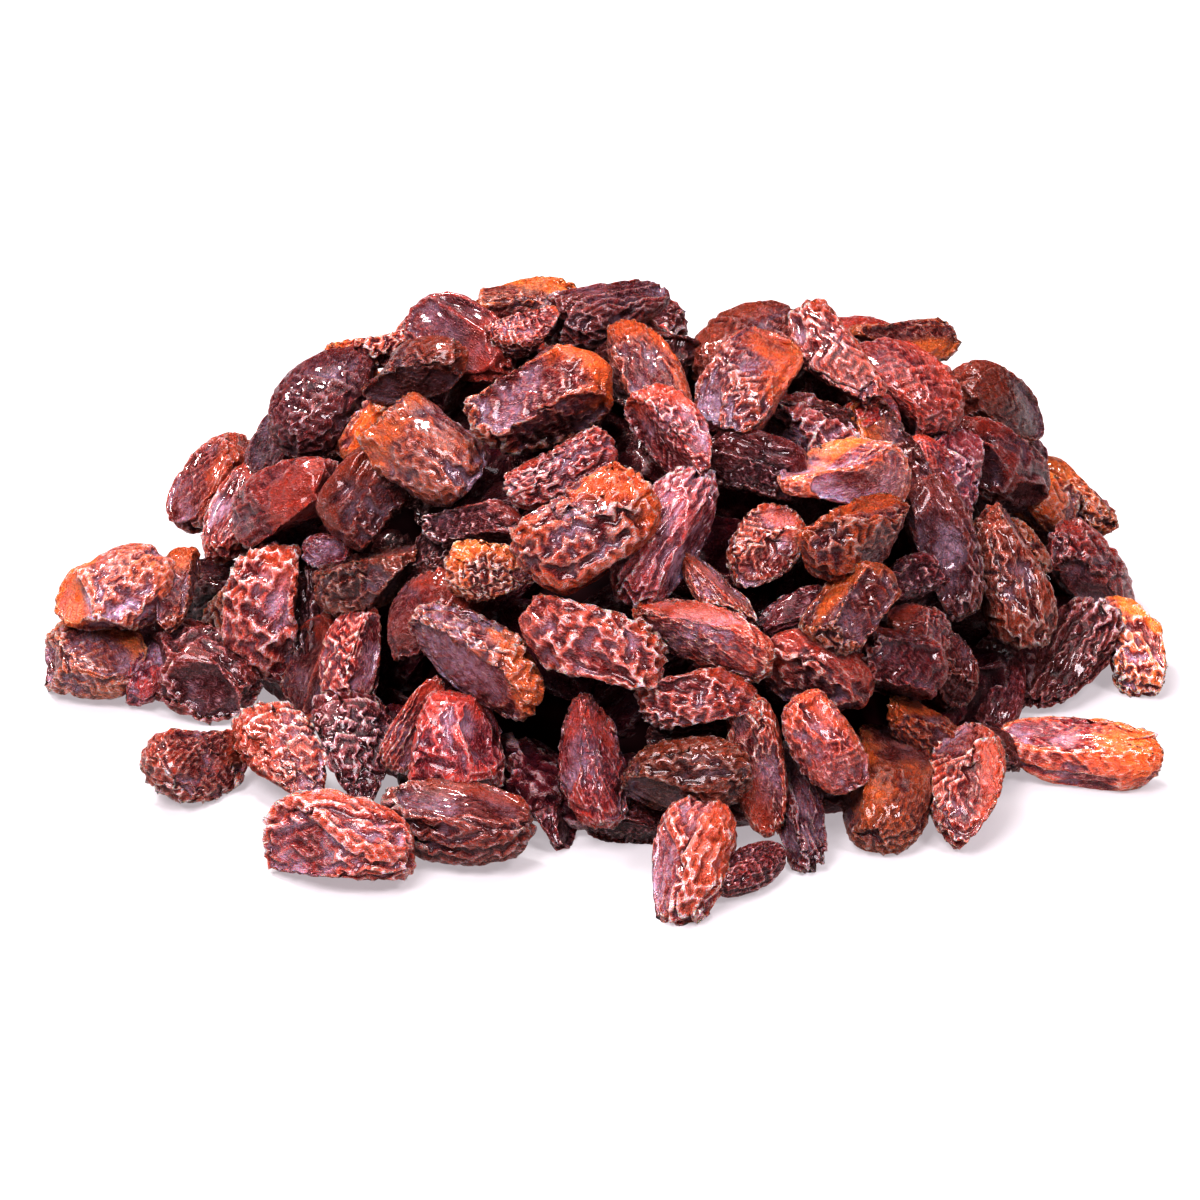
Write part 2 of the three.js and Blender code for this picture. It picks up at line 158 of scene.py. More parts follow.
RIGHT_FLANK = [
    (996, 405, 96, 66, -25, 0, "brown", "plump"), (1020, 448, 60, 42, -30, -3, "dark", "mixed"),
    (1000, 468, 110, 72, -32, 1, "red", "fine"), (1052, 508, 118, 66, -38, 1, "amber", "fine"),
    (1072, 495, 88, 56, -42, -2, "amber", "mixed"), (1090, 572, 108, 76, -42, 0, "red", "fine"),
    (1012, 576, 146, 80, -80, 2, "brown", "fine"), (945, 548, 140, 72, -74, 2, "plum", "mixed"),
    (848, 472, 142, 80, 4, 3, "pale", "facet"), (860, 536, 125, 84, 6, 3, "amber", "facet"),
    (765, 548, 92, 68, 58, -4, "brown", "fine"), (850, 610, 92, 74, 35, 1, "amber", "mixed"),
    (800, 612, 84, 46, 14, -2, "dark", "fine"), (818, 675, 112, 76, -30, 0, "brown", "mixed"),
    (893, 660, 94, 78, -35, 2, "red", "mixed"), (920, 626, 60, 46, -20, -1, "red", "fine"),
    (948, 668, 82, 52, -72, 0, "red", "fine"),
]
FOOT = [
    (995, 684, 90, 58, 80, FLOOR, "dark", "plump"), (1068, 655, 140, 80, 48, FLOOR, "dark", "long"),
    (1134, 644, 94, 62, -74, FLOOR, "amber", "mixed"), (1081, 752, 158, 70, -6, FLOOR, "amber", "fine"),
    (194, 760, 94, 80, 22, FLOOR, "brown", "fine"), (278, 756, 122, 76, -52, FLOOR, "brown", "fine"),
    (357, 744, 112, 78, -76, FLOOR, "dark", "fine"), (332, 842, 150, 100, -4, FLOOR, "red", "long"),
    (454, 828, 146, 88, -8, FLOOR, "red", "long"),
]
FRONT = [
    (455, 762, 132, 96, 82, 2, "red", "fine"), (416, 726, 104, 42, 60, -2, "brown", "long"),
    (368, 580, 98, 70, 14, 1, "brown", "fine"), (352, 655, 96, 66, 82, 1, "brown", "fine"),
    (488, 573, 90, 60, -4, 1, "amber", "fine"), (475, 524, 98, 50, -4, -4, "dark", "mixed"),
    (478, 656, 148, 80, -36, 3, "pale", "mixed"), (593, 644, 152, 84, -26, 2, "red", "mixed"),
    (705, 634, 148, 64, -23, 3, "brown", "fine"), (716, 590, 92, 46, -58, -2, "brown", "long"),
    (590, 762, 134, 66, -80, 2, "red", "fine"), (696, 698, 118, 62, 0, 1, "red", "mixed"),
    (698, 732, 100, 40, 4, -3, "dark", "long"), (686, 776, 126, 76, 8, 3, "brown", "fine"),
    (692, 862, 114, 82, 66, FLOOR, "red", "long"), (757, 765, 138, 56, -80, 1, "brown", "fine"),
    (804, 815, 140, 52, -80, FLOOR, "plum", "long"), (752, 876, 72, 46, 30, FLOOR, "dark", "plump"),
    (823, 744, 106, 66, -60, 2, "red", "facet"), (888, 785, 138, 90, 80, FLOOR, "amber", "plump"),
    (926, 732, 90, 52, -42, -1, "amber", "fine"), (966, 785, 118, 74, 82, FLOOR, "brown", "fine"),
    (545, 796, 96, 60, -62, FLOOR, "dark", "fine"), (626, 818, 74, 52, 0, FLOOR, "dark", "mixed"),
]
HIDDEN = [(968, 758, 104, 60, 0, FLOOR, "dark", "mixed")]
LISTED = LEFT_CLUMP + LEFT_FLANK + CROWN + RIGHT_FLANK + FOOT + FRONT + HIDDEN

# Small ones deep in the gaps, which the CAD leaves out.
IN_GAPS = [
    (440, 545, 66, 44, 60, -6, "dark", "fine"), (436, 592, 60, 44, 0, -6, "dark", "mixed"),
    (757, 466, 104, 70, -20, -4, "dark", "mixed"), (815, 415, 90, 50, -10, -3, "dark", "mixed"),
    (870, 416, 52, 42, 0, -3, "red", "facet"), (930, 462, 62, 42, -30, -3, "red", "plump"),
    (906, 586, 82, 56, 20, -4, "dark", "fine"), (330, 552, 46, 36, 0, -2, "plum", "fine"),
    (313, 612, 100, 50, 86, -3, "dark", "long"),
]

# The ways up, right, into the picture and up in the picture.
UP = np.array([0.0, 0.0, 1.0])
RIGHT = np.array([1.0, 0.0, 0.0])
LOOK = np.array([0.0, math.cos(ELEVATION), -math.sin(ELEVATION)])
PICTURE_UP = np.cross(RIGHT, LOOK)

# The least number divided by.
TINY = 1e-9

# Crossed with the heap's normal, it gives the way from which a raisin's length is turned.
SKEW = np.array([0.3, 1.0, 0.2])


def unit(v):
    return v / norm(v)


# The way that the top of the clump on the left faces.
CLUMP_TOP = unit(np.array([-0.2, -0.5, 1.0]))


def sight_line(u, v):
    """The line of sight through a pixel, as a step that goes 1 mm deeper into the picture."""
    return LOOK + RIGHT * ((u - CENTRE_PX) / FOCAL_PX) + PICTURE_UP * ((CENTRE_PX - v) / FOCAL_PX)


EYE = sight_line(ORIGIN_U, ORIGIN_V) * -DISTANCE


def reach_at(angle):
    """How far the outer raisins' middles reach at an angle, eased between the named reaches."""
    turn = ((angle / (2 * math.pi) + 1) % 1) * len(REACHES)
    first = np.floor(turn).astype(int) % len(REACHES)
    last = (first + 1) % len(REACHES)
    part = (1 - np.cos(math.pi * (turn % 1))) / 2
    return REACHES[first] * (1 - part) + REACHES[last] * part


def outness(x, y, inset=0.0):
    """How far out a point of the surface is, as a share of the heap's reach there."""
    return np.hypot(x, y) / (reach_at(np.arctan2(y, x)) - inset)


def dome_height(x, y, inset=0.0):
    """The height of the outer raisins' middles over a point of the surface."""
    out = np.minimum(outness(x, y, inset), 1)
    dip = DIP_SHARE * np.exp(-((x - DIP_X) / DIP_ACROSS) ** 2 - ((y - DIP_Y) / DIP_BACK) ** 2)
    return (HEAP_HEIGHT - inset) * (1 - dip) * (1 - out ** CROWN_POWER) ** FLANK_POWER


def dome_normal(x, y, inset=0.0):
    h = SLOPE_STEP
    slope_x = (dome_height(x + h, y, inset) - dome_height(x - h, y, inset)) / (2 * h)
    slope_y = (dome_height(x, y + h, inset) - dome_height(x, y - h, inset)) / (2 * h)
    normal = np.stack([-slope_x, -slope_y, np.ones_like(slope_x)], -1)
    return normal / norm(normal, axis=-1, keepdims=True)


def off_dome(points, inset=0.0):
    """How far points lie off the dome, or off the core with its inset, and which way they leave it."""
    x, y, z = points.T
    out = outness(x, y, inset)
    above = dome_normal(x, y)
    gap_above = (z - dome_height(x, y, inset)) * above[:, 2]
    past = 1 - 1 / np.maximum(out, 1)
    beside = np.stack([x * past, y * past, np.maximum(z, 0)], -1)
    gap_beside = norm(beside, axis=1)
    beside /= np.maximum(gap_beside, TINY)[:, None]
    inside = out < 1
    return np.where(inside, gap_above, gap_beside), np.where(inside[:, None], above, beside)


def on_dome(u, v):
    """Where a line of sight meets the dome, or else the point where it passes closest to it."""
    depths = np.arange(DISTANCE - SEARCH, DISTANCE + SEARCH, SEARCH_STEP)
    points = EYE + sight_line(u, v) * depths[:, None]
    gaps, leaves = off_dome(points)
    inside = np.flatnonzero(gaps <= 0)
    found = inside[0] if len(inside) else int(np.argmin(gaps))
    return points[found], leaves[found]


def at_height(u, v, height):
    line = sight_line(u, v)
    return EYE + line * ((height - EYE[2]) / line[2])


def axes_of(along, flat):
    """A raisin's own axes: the ways of its length, its width and its thickness."""
    return np.array([along, np.cross(flat, along), flat])


def half_sizes(half_long, half_wide):
    return np.array([half_long, half_wide, half_wide * FLATNESS])


def drop(piece):
    """How far a raisin reaches down from its middle."""
    return norm(piece["axes"][:, 2] * piece["half"])


def place_listed(row):
    """Puts a raisin of a list where it shows: on the surface, on the clump or on the heap."""
    u, v, long, wide, turn, lies, kind, style = row
    on_heap = lies not in (FLOOR, CLUMP)
    at = at_height(u, v, CLUMP_HEIGHT if lies == CLUMP else wide / PX_PER_MM * FLATNESS / 2)
    normal = CLUMP_TOP if lies == CLUMP else UP
    if on_heap:
        at, normal = on_dome(u, v)
        at = at - sight_line(u, v) * lies
    angle = math.radians(turn)
    along = RIGHT * math.cos(angle) + PICTURE_UP * math.sin(angle)
    slant = np.clip(-(along @ normal) / (LOOK @ normal), -SLANT_MAX, SLANT_MAX)
    along = unit(along + LOOK * slant)
    follow = FOLLOW_HEAP if on_heap else FOLLOW_FLOOR
    flat = normal * follow + LOOK * (follow - 1)
    flat = unit(flat - along * (flat @ along))
    mm_per_px = (at - EYE) @ LOOK / FOCAL_PX
    half_wide = wide * mm_per_px * PLUMP / 2
    half_long = min(long * mm_per_px * PLUMP / 2 * math.hypot(1, slant), HALF_LONG_MAX)
    piece = {
        "at": at,
        "axes": axes_of(along, flat),
        "half": half_sizes(max(half_long, half_wide * LEAST_OVER_WIDE), half_wide),
        "line": sight_line(u, v),
        "fixed": lies == FLOOR,
        "kind": kind,
        "style": style,
    }
    if piece["fixed"]:
        piece["at"] = at_height(u, v, drop(piece) * GROUND_BITE)
    return piece


# The random numbers: the largest state of their stream, and its step from state to state.
WORD = 0xFFFFFFFF
DRAW_STEP = 0x6D2B79F5


def make_draw(seed):
    """A repeatable stream of random numbers from 0 to 1, the same as in the CAD."""
    state = seed

    def draw():
        nonlocal state
        state = (state + DRAW_STEP) & WORD
        t = ((state ^ (state >> 15)) * (state | 1)) & WORD
        t ^= (t + (((t ^ (t >> 7)) * (t | 61)) & WORD)) & WORD
        return ((t ^ (t >> 14)) & WORD) / (WORD + 1)

    return draw


def swing(draw):
    """A random number from -1 to 1."""
    return draw() * 2 - 1


# The shares of the colours and of the ways of wrinkling among the raisins that aren't listed, and
# the turn from one to the next in their spiral.
FILL_KINDS = ["red"] * 9 + ["amber"] * 4 + ["brown"] * 4 + ["plum"] * 2 + ["pale"] + ["dark"] * 2
FILL_STYLES = ["fine"] * 5 + ["mixed"] * 5 + ["facet"] * 4 + ["long"] * 3 + ["plump"]
GOLDEN_ANGLE = math.pi * (3 - math.sqrt(5))


def place_candidate(number, inset, draw):
    """A raisin that may fill the dome: they lie in a spiral from its middle outwards."""
    angle = (number * GOLDEN_ANGLE) % (2 * math.pi)
    out = math.sqrt((number + 0.5) / FILL_PLACES) * (reach_at(np.float64(angle)) - inset)
    x, y = out * math.cos(angle), out * math.sin(angle)
    half_long = HALF_LONG + LONG_SPREAD * swing(draw)
    half_wide = HALF_WIDE + WIDE_SPREAD * swing(draw)
    spin = draw() * math.pi
    tilt = swing(draw) * FILL_TILT
    normal = dome_normal(x, y, inset)
    at = np.array([x, y, dome_height(x, y, inset)])
    if LOOK @ normal < FACES_AWAY:
        at = at - normal * FILL_SINK
    at[2] = max(at[2], half_wide * FLATNESS)
    across = unit(np.cross(normal, SKEW))
    along = unit(across * math.cos(spin) + np.cross(normal, across) * math.sin(spin) + normal * tilt)
    flat = unit(normal - along * (normal @ along))
    return {
        "at": at,
        "axes": axes_of(along, flat),
        "half": half_sizes(half_long, half_wide),
        "line": None,
        "fixed": False,
    }


def place_fillers(others, inset=0.0, distance=FILL_DISTANCE):
    """Raisins all over the dome, wherever the others leave room."""
    draw = make_draw(SEED)
    pick = np.random.default_rng(SEED)
    pieces = list(others)
    for number in range(FILL_PLACES):
        piece = place_candidate(number, inset, draw)
        taken = np.array([p["at"] for p in pieces])
        if norm(taken - piece["at"], axis=1).min() < distance:
            continue
        piece["kind"] = pick.choice(FILL_KINDS)
        piece["style"] = pick.choice(FILL_STYLES)
        pieces.append(piece)
    return pieces


def place_foot():
    """A ring of raisins on the floor round the foot of the core, each lying along its edge."""
    draw = make_draw(SEED)
    pieces = []
    for k in range(FOOT_RAISINS):
        angle = np.float64(2 * math.pi * k / FOOT_RAISINS)
        reach = reach_at(angle) - UNDER_INSET
        turned = angle + swing(draw) * FOOT_TURN
        along = np.array([-math.sin(turned), math.cos(turned), 0.0])
        half = half_sizes(HALF_LONG, HALF_WIDE + WIDE_SPREAD * swing(draw))
        pieces.append({
            "at": np.array([reach * math.cos(angle), reach * math.sin(angle), half[2]]),
            "axes": axes_of(along, UP),
            "half": half,
            "style": "mixed",
        })
    return pieces


def pair_gaps(pieces):
    """For each pair: how far apart the middles are, which way, and how far both reach that way."""
    at = np.array([p["at"] for p in pieces])
    axes = np.array([p["axes"] for p in pieces])
    half = np.array([p["half"] for p in pieces])
    toward = at[None, :, :] - at[:, None, :]
    distance = norm(toward, axis=2)
    toward = toward / np.maximum(distance, TINY)[:, :, None]
    shares = np.einsum("ikc,ijc->ijk", axes, toward) / half[:, None, :]
    reach = 1 / np.maximum(norm(shares, axis=2), TINY)
    return distance, toward, reach + reach.T


def ease(pieces):
    """Eases the raisins apart. Of those that are listed, the ones on the floor stay and the others only
    move along their lines of sight."""
    home = [p["at"].copy() for p in pieces]
    for _ in range(EASE_ROUNDS):
        distance, toward, reaches = pair_gaps(pieces)
        over = reaches * TIGHTNESS - distance
        over[(over < 0) | (distance == 0)] = 0
        moves = -(toward * over[:, :, None]).sum(1) * EASE_SHARE
        for piece, start, move in zip(pieces, home, moves):
            if piece["fixed"]:
                continue
            move = move + (start - piece["at"]) * HOME_PULL
            if piece["line"] is not None:
                move = piece["line"] * (move @ piece["line"])
            length = norm(move)
            piece["at"] = piece["at"] + move * min(1, EASE_STEP / max(length, TINY))
            sunk = drop(piece) - piece["at"][2]
            if sunk > 0 and piece["line"] is not None:
                piece["at"] = piece["at"] + piece["line"] * (sunk / piece["line"][2])
            elif sunk > 0:
                piece["at"][2] += sunk
    return pieces


def touches_core(piece):
    gap, leaves = off_dome(piece["at"][None, :], CORE_INSET)
    reach = 1 / norm(piece["axes"] @ leaves[0] / piece["half"])
    return gap[0] < reach * CONTACT


def settle(pieces):
    """Lets every raisin that nothing holds sink until it rests on the core or on one that is held."""
    held = np.zeros(len(pieces), bool)
    while not held.all():
        distance, _, reaches = pair_gaps(pieces)
        touching = (distance < reaches * CONTACT) & held[None, :]
        landed = ~held & (touching.any(1) | np.array([touches_core(p) for p in pieces]))
        held |= landed
        if landed.any():
            continue
        for k in np.flatnonzero(~held):
            piece = pieces[k]
            at = piece["at"]
            lowest = drop(piece) * GROUND_BITE
            way = piece["line"]
            if at[2] <= lowest:
                way = unit(np.array([-at[0], -at[1], 0.0]))
            elif way is None:
                way = -dome_normal(at[0], at[1])
            piece["at"] = at + way * SINK_STEP
            piece["at"][2] = max(piece["at"][2], lowest)
    return pieces


# The skin of one raisin: how often its coarse mesh is split, and the usual half sizes.
COARSE_LEVEL = 4
TYPICAL_HALF = half_sizes(HALF_LONG, HALF_WIDE)


def ball(level):
    bm = bmesh.new()
    bmesh.ops.create_icosphere(bm, subdivisions=level, radius=1)
    points = np.array([v.co[:] for v in bm.verts])
    faces = np.array([[v.index for v in f.verts] for f in bm.faces])
    bm.free()
    return points, faces


def finer(points, faces):
    """Splits each triangle in four. Gives the two old points of each new one, and the triangles."""
    sides = np.sort(np.vstack([faces[:, [0, 1]], faces[:, [1, 2]], faces[:, [2, 0]]]), axis=1)
    ends, which = np.unique(sides, axis=0, return_inverse=True)
    ab, bc, ca = len(points) + which.reshape(3, -1)
    a, b, c = faces.T
    corners = ((a, ab, ca), (b, bc, ab), (c, ca, bc), (ab, bc, ca))
    return ends, np.vstack([np.stack(three, 1) for three in corners])


def with_middles(points, ends):
    """The points, and after them the middle of each side that was split."""
    return np.vstack([points, (points[ends[:, 0]] + points[ends[:, 1]]) / 2])


def links(faces):
    """The edges, and for each edge the two corners opposite it."""
    sides = np.vstack([faces, faces[:, [1, 2, 0]], faces[:, [2, 0, 1]]])
    ends = np.sort(sides[:, :2], axis=1)
    order = np.lexsort((ends[:, 1], ends[:, 0]))
    ends, opposite = ends[order], sides[order, 2]
    return ends[0::2], np.stack([opposite[0::2], opposite[1::2]], 1)


def gather(count, index, values):
    """Adds up the rows of values that share an index."""
    return np.stack([np.bincount(index, weights=values[:, k], minlength=count) for k in range(3)], 1)


def waves(points, draw, count, lowest, highest):
    """A smooth random field: waves of random lengths and directions, added up."""
    total = np.zeros(len(points))
    for _ in range(count):
        way = unit(draw.normal(size=3))
        total += np.cos(points @ way * draw.uniform(lowest, highest) + draw.uniform(0, 2 * math.pi))
    return total / math.sqrt(count)


def face_normals(points, faces):
    """Each triangle's outward direction, as long as its area, and the volume inside them all."""
    a, b, c = points[faces[:, 0]], points[faces[:, 1]], points[faces[:, 2]]
    return np.cross(b - a, c - a) / 2, (a * np.cross(b, c)).sum() / 6


def outward(points, faces):
    """The triangles turned so that they face out of the shape."""
    _, volume = face_normals(points, faces)
    return faces if volume > 0 else faces[:, ::-1]


def skin_normals(points, faces):
    """The outward direction at each point, and the volume and the area of the skin."""
    per_face, volume = face_normals(points, faces)
    total = sum(gather(len(points), faces[:, k], per_face) for k in range(3))
    return total / norm(total, axis=1)[:, None], volume, norm(per_face, axis=1).sum()


def relax(points, edges, share, times):
    """Moves each point towards the middle of its neighbours."""
    i, j = edges.T
    count = np.bincount(edges.ravel())[:, None]
    for _ in range(times):
        middle = (gather(len(points), i, points[j]) + gather(len(points), j, points[i])) / count
        points = points * (1 - share) + middle * share
    return points


def fill_box(points):
    """The shape moved and scaled to reach from -1 to 1 each way."""
    low, high = points.min(0), points.max(0)
    return (points - (low + high) / 2) / (high - low) * 2


class Springs:
    """The skin as springs: one along each edge, and a weaker one across it that resists folding."""

    def __init__(self, points, faces, bending, stretch=None):
        edges, across = links(faces)
        self.i, self.j = np.vstack([edges, across]).T
        self.count = len(points)
        self.stiff = np.concatenate([np.ones(len(edges)), np.full(len(across), bending)])
        self.rest = norm(points[self.j] - points[self.i], axis=1)
        if stretch is not None:
            self.rest = self.rest * stretch(self.i, self.j)
        shares = [np.bincount(k, weights=self.stiff, minlength=self.count) for k in (self.i, self.j)]
        self.share = (shares[0] + shares[1])[:, None]

    def push(self, points):
        """The move that would take each point to where its springs are at rest."""
        gap = points[self.j] - points[self.i]
        now = norm(gap, axis=1)
        pull = gap * ((now - self.rest) / now * self.stiff / 2)[:, None]
        back = gather(self.count, self.i, pull) - gather(self.count, self.j, pull)
        return back / self.share


# The ways of wrinkling. First the flesh: its lumps, the number and depth of its flat sides, how
# unevenly it dries, the share of it that is left, and how its skin resists folding meanwhile. Then
# the skin: how much it outgrows the flesh, along and round the raisin, how patchily, how it resists
# bending, how the flesh holds it from rising and from sinking, and the height in mm from which its
# crests turn sharp.
USUAL = {
    "lumps": 0.07, "dents": 3, "deep": 0.22, "uneven": 0.35, "left": 0.7, "folding": 0.2,
    "growth": 0.19, "along": 1.0, "round": 1.0, "patchy": 0.5, "bending": 0.08,
    "hold_out": 0.03, "hold_in": 0.022, "sharp": 0.32,
}
STYLES = {
    "fine": {**USUAL, "bending": 0.04, "hold_out": 0.06, "hold_in": 0.045},
    "facet": {**USUAL, "dents": 6, "deep": 0.12, "growth": 0.13, "bending": 0.06},
    "long": {**USUAL, "growth": 0.32, "along": 0.25, "round": 1.3, "bending": 0.1, "patchy": 0.9},
    "mixed": {**USUAL, "left": 0.66, "patchy": 0.9},
    "plump": {**USUAL, "dents": 2, "deep": 0.12, "left": 0.82, "growth": 0.10, "patchy": 0.7},
}

# How many shapes each way of wrinkling has.
VARIANTS = 7

# Random fields over a raisin: how many waves, and the least and the most radians per radius.
LUMP_WAVES = (8, 1.2, 3.0)
DENT_WAVES = (6, 1.5, 4.0)
UNEVEN_WAVES = (12, 2.5, 5.0)
PATCH_WAVES = (6, 1.5, 3.0)
WRINKLE_WAVES = (24, 6, 14)

# The grape: how square it is, how it tapers and bends, and its flat sides, of which most face
# sideways: where they start, how softly, how wavy they are and how deep they go.
FULLNESS = (2.0, 2.6)
TAPER = 0.1
BEND = 0.018
SIDEWAYS = np.array([0.25, 1.0, 1.0])
DENT_FROM = (0.62, 0.9)
DENT_EASE = 0.9
DENT_WAVE = 0.35
DENT_DEPTH = (0.3, 1.5)

# Drying: the rounds, how early the flesh is at its least, the pull of the skin, of the flesh and of
# the shrunk grape, how large that is, and how much of a move carries on.
DRY_STEPS = 90
DRY_EARLY = 1.3
DRY_SKIN_PULL = 1.6
DRY_FLESH_PULL = 0.6
DRY_HOME_PULL = 0.004
DRY_HOME_SIZE = 0.85
DRY_CARRY = 0.5

# Wrinkling: the rounds, the unevenness that starts it, the pull of the skin and of its old place,
# how much of a move carries on, and the least and most that a patch grows.
BUCKLE_STEPS = 130
BUCKLE_START = 0.15
BUCKLE_SKIN_PULL = 1.7
BUCKLE_HOME_PULL = 0.002
BUCKLE_CARRY = 0.6
LEAST_PATCH = 0.15
MOST_PATCH = 2

# Relaxing: the share of each move and how often, for the split mesh, and for the smooth skins that
# crests are sharpened from and that crests and rims are measured from.
SPLIT_RELAX = (0.5, 2)
SHARP_RELAX = (0.5, 8)
CREST_RELAX = (0.5, 3)
RIM_RELAX = (0.6, 40)

# The span of heights that sharpening takes, as multiples of its size, and how many millimetres of
# crest and of rim count as 1 for the material.
SHARP_LOWEST = -3
SHARP_HIGHEST = 1.4
CREST_HEIGHT = 0.16
RIM_HEIGHT = 0.34


def grape(ball_points, draw, style):
    """The grape before it dried: a ball a little square, lumpy, tapered and bent, with flat sides."""
    fullness = draw.uniform(*FULLNESS)
    size = (np.abs(ball_points) ** fullness).sum(1) ** (-1 / fullness)
    points = ball_points * size[:, None]
    points *= 1 + style["lumps"] * waves(ball_points, draw, *LUMP_WAVES)[:, None]
    points[:, 1:] *= 1 + draw.uniform(-TAPER, TAPER) * points[:, :1]
    points = points * TYPICAL_HALF
    for _ in range(style["dents"]):
        way = unit(draw.normal(size=3) * SIDEWAYS)
        along = points @ way + DENT_WAVE * waves(ball_points, draw, *DENT_WAVES)
        past = (along - along.max() * draw.uniform(*DENT_FROM)) / DENT_EASE
        past = DENT_EASE * np.logaddexp(0, past)
        points = points - way * (past * (1 + style["deep"] * draw.uniform(*DENT_DEPTH)))[:, None]
    points[:, 2] += draw.uniform(-BEND, BEND) * points[:, 0] ** 2
    return points


def dry(start, faces, draw, style):
    """The skin keeps its size while the volume shrinks, which leaves broad dents with rims."""
    springs = Springs(start, faces, style["folding"])
    out, full, _ = skin_normals(start, faces)
    uneven = waves(start / TYPICAL_HALF, draw, *UNEVEN_WAVES) * style["uneven"]
    points = start + out * uneven[:, None]
    speed = np.zeros_like(points)
    for step in range(DRY_STEPS):
        target = full * (1 - (1 - style["left"]) * min(1, DRY_EARLY * step / DRY_STEPS))
        out, volume, area = skin_normals(points, faces)
        move = springs.push(points) * DRY_SKIN_PULL + out * (target - volume) / area * DRY_FLESH_PULL
        speed = speed * DRY_CARRY + move + (start * DRY_HOME_SIZE - points) * DRY_HOME_PULL
        points = points + speed
    return fill_box(points) * TYPICAL_HALF


def buckle(base, ball_points, faces, draw, style):
    """The skin outgrows the flesh that holds it, which leaves wrinkles."""
    patches = waves(ball_points, draw, *PATCH_WAVES)

    def stretch(i, j):
        span = base[j] - base[i]
        along = np.abs(span[:, 0]) / norm(span, axis=1)
        patch = 1 + style["patchy"] * (patches[i] + patches[j]) / 2
        patch = np.clip(patch, LEAST_PATCH, MOST_PATCH)
        return 1 + style["growth"] * (along * style["along"] + (1 - along) * style["round"]) * patch

    springs = Springs(base, faces, style["bending"], stretch)
    out, _, _ = skin_normals(base, faces)
    points = base + out * (waves(ball_points, draw, *WRINKLE_WAVES) * BUCKLE_START)[:, None]
    speed = np.zeros_like(points)
    for _ in range(BUCKLE_STEPS):
        off = ((points - base) * out).sum(1)
        hold = np.where(off > 0, style["hold_out"], style["hold_in"])
        move = springs.push(points) * BUCKLE_SKIN_PULL - (points - base) * BUCKLE_HOME_PULL
        speed = speed * BUCKLE_CARRY + (move - out * (off * hold)[:, None])
        points = points + speed
    return points


def sharpen(points, faces, edges, size):
    """Makes crests high and narrow, and the hollows between them shallow and broad."""
    smooth = relax(points, edges, *SHARP_RELAX)
    out, _, _ = skin_normals(smooth, faces)
    height = ((points - smooth) * out).sum(1)
    change = size * np.expm1(np.clip(height / size, SHARP_LOWEST, SHARP_HIGHEST)) - height
    return points + out * change[:, None]


def make_shape(draw, style, coarse, coarse_faces, ends, faces, edges):
    """One dried raisin that fills a box from -1 to 1, with its crests and rims."""
    turned = coarse @ np.linalg.qr(draw.normal(size=(3, 3)))[0]
    fine_ball = with_middles(turned, ends)
    fine_faces = outward(fine_ball, faces)
    dried = dry(grape(turned, draw, style), outward(turned, coarse_faces), draw, style)
    base = relax(with_middles(dried, ends), edges, *SPLIT_RELAX)
    points = buckle(base, fine_ball, fine_faces, draw, style)
    points = sharpen(points, fine_faces, edges, style["sharp"])
    out, _, _ = skin_normals(points, fine_faces)
    return {
        "points": fill_box(points),
        "faces": fine_faces,
        "crest": ((points - relax(points, edges, *CREST_RELAX)) * out).sum(1) / CREST_HEIGHT,
        "rim": ((points - relax(points, edges, *RIM_RELAX)) * out).sum(1) / RIM_HEIGHT,
    }


def make_variants():
    """The shapes that the raisins take their skins from, by way of wrinkling."""
    coarse, coarse_faces = ball(COARSE_LEVEL)
    ends, faces = finer(coarse, coarse_faces)
    edges, _ = links(faces)
    shapes = {}
    for number, (name, style) in enumerate(STYLES.items()):
        draws = [np.random.default_rng([SEED, number, k]) for k in range(VARIANTS)]
        shapes[name] = [make_shape(draw, style, coarse, coarse_faces, ends, faces, edges)
                        for draw in draws]
    return shapes


def coarse_shapes(shapes):
    """The same shapes on the coarse mesh, for raisins deep in the heap."""
    _, faces = ball(COARSE_LEVEL)
    count = faces.max() + 1

    def coarse(shape):
        made = {key: shape[key][:count] for key in ("points", "crest", "rim")}
        return {**made, "faces": outward(made["points"], faces)}

    return {name: [coarse(shape) for shape in variants] for name, variants in shapes.items()}


# Glow is painted where light from behind and above shines through a raisin: most along its upper
# edge, less so towards the middle of its flat sides. Which edge counts as its upper one is partly
# chance.
EDGE_START = 0.5
EDGE_FALL = 0.8
EDGE_CHANCE = 0.5

# No point is lower than this, and each raisin's grain starts within this distance, both in mm.
LOWEST_POINT = 0.02
GRAIN_SPREAD = 500


